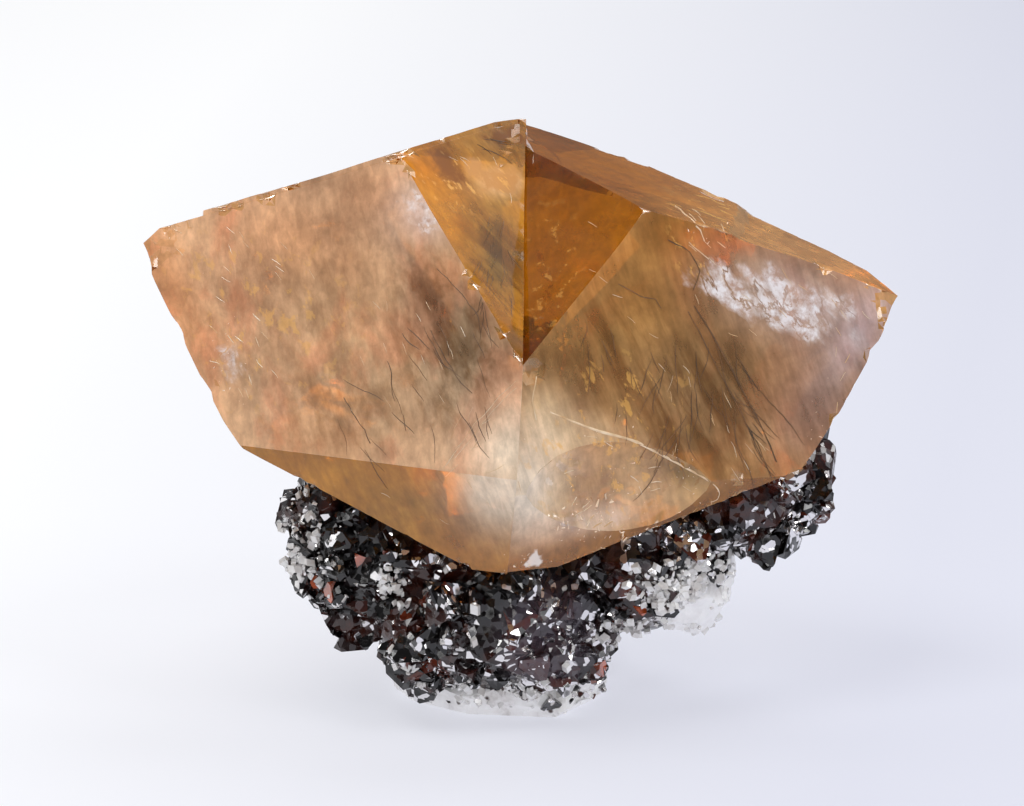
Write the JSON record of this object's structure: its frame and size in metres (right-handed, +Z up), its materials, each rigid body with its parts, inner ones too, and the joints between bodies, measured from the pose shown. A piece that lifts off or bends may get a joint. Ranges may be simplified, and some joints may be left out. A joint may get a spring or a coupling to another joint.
{
  "type": "calcite twin on sphalerite mineral specimen",
  "caption": "Golden translucent twinned calcite crystal with a V-shaped notch, seated on a crust of dark lustrous sphalerite crystals over pale rock, cut flat below to rest on a shelf.",
  "frame": {"origin": "centre of the whole specimen's box on the flat cut under the rock that it rests on", "axes": "+Z up from the cut base, +X along the twin's c axis from the left to the right individual, -Y towards the side with the large twin notch"},
  "size_m": [0.101, 0.0668, 0.0791],
  "materials": {
    "calcite": "golden, see-through with frosted and veiled zones, glassy lustre",
    "sphalerite": "black to dark red-brown, very bright resinous to metallic lustre on flat facets",
    "rock": "white to pale grey, sugary, dull to sparkling"
  },
  "bodies": {
    "root": {"calcite_twin": "calcite", "sphalerite_crust": "sphalerite", "host_rock": "rock"}
  },
  "joints": []
}
